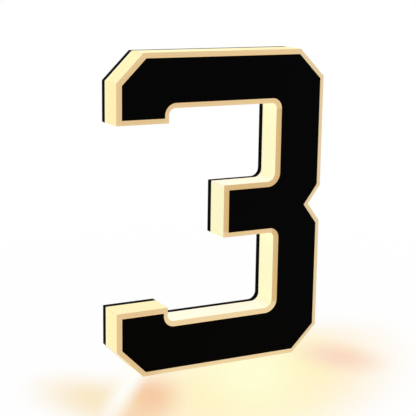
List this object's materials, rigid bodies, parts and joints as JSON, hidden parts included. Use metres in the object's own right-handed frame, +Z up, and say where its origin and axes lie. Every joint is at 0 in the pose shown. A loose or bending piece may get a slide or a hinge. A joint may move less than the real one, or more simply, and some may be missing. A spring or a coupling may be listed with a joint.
{
  "type": "illuminated house number",
  "caption": "Wall-mounted figure 3 with a black face, an opal side-lit housing and a black back plate on threaded studs.",
  "frame": {"origin": "middle of the figure's bottom edge: halfway along its width and halfway through the housing's depth, on the plane it stands on", "axes": "+Z up the figure, +X to the reader's right, front facing -Y and the wall side facing +Y"},
  "size_m": [0.143, 0.0473, 0.2],
  "materials": {
    "opal_acrylic": "opal, satin, lit from inside to a warm cream",
    "black_face": "matte black sheet",
    "adhesive_film": "clear to milky film",
    "black_plate": "matte black sheet",
    "seal_rubber": "soft matte",
    "stainless": "turned stainless",
    "insert_brass": "plain, turned",
    "spacer_aluminium": "satin",
    "circuit_board": "white solder mask on an aluminium core",
    "thermal_tape": "thin filled adhesive tape",
    "led_phosphor": "cast phosphor gel",
    "resistor_black": "glazed",
    "wire_red": "insulation",
    "wire_black": "insulation",
    "terminal_green": "moulded",
    "grommet_rubber": "soft matte"
  },
  "bodies": {
    "root": {"light_body": "opal_acrylic", "face_plate": "black_face", "face_film": "adhesive_film", "back_plate": "black_plate", "seal_ring": "seal_rubber", "back_screws": "stainless", "screw_inserts": "insert_brass", "wall_studs": "stainless", "stud_washers": "stainless", "stud_nuts": "stainless", "wall_spacers": "spacer_aluminium", "led_bar_top": "circuit_board", "led_bar_middle": "circuit_board", "led_bar_bottom": "circuit_board", "led_bar_stem": "circuit_board", "led_chips_top": "led_phosphor", "led_chips_middle": "led_phosphor", "led_chips_bottom": "led_phosphor", "led_chips_stem": "led_phosphor", "bar_tapes": "thermal_tape", "bar_resistors": "resistor_black", "jumper_wires_red": "wire_red", "jumper_wires_black": "wire_black", "supply_terminal": "terminal_green", "terminal_screws": "stainless", "cable_grommet": "grommet_rubber"}
  },
  "joints": []
}
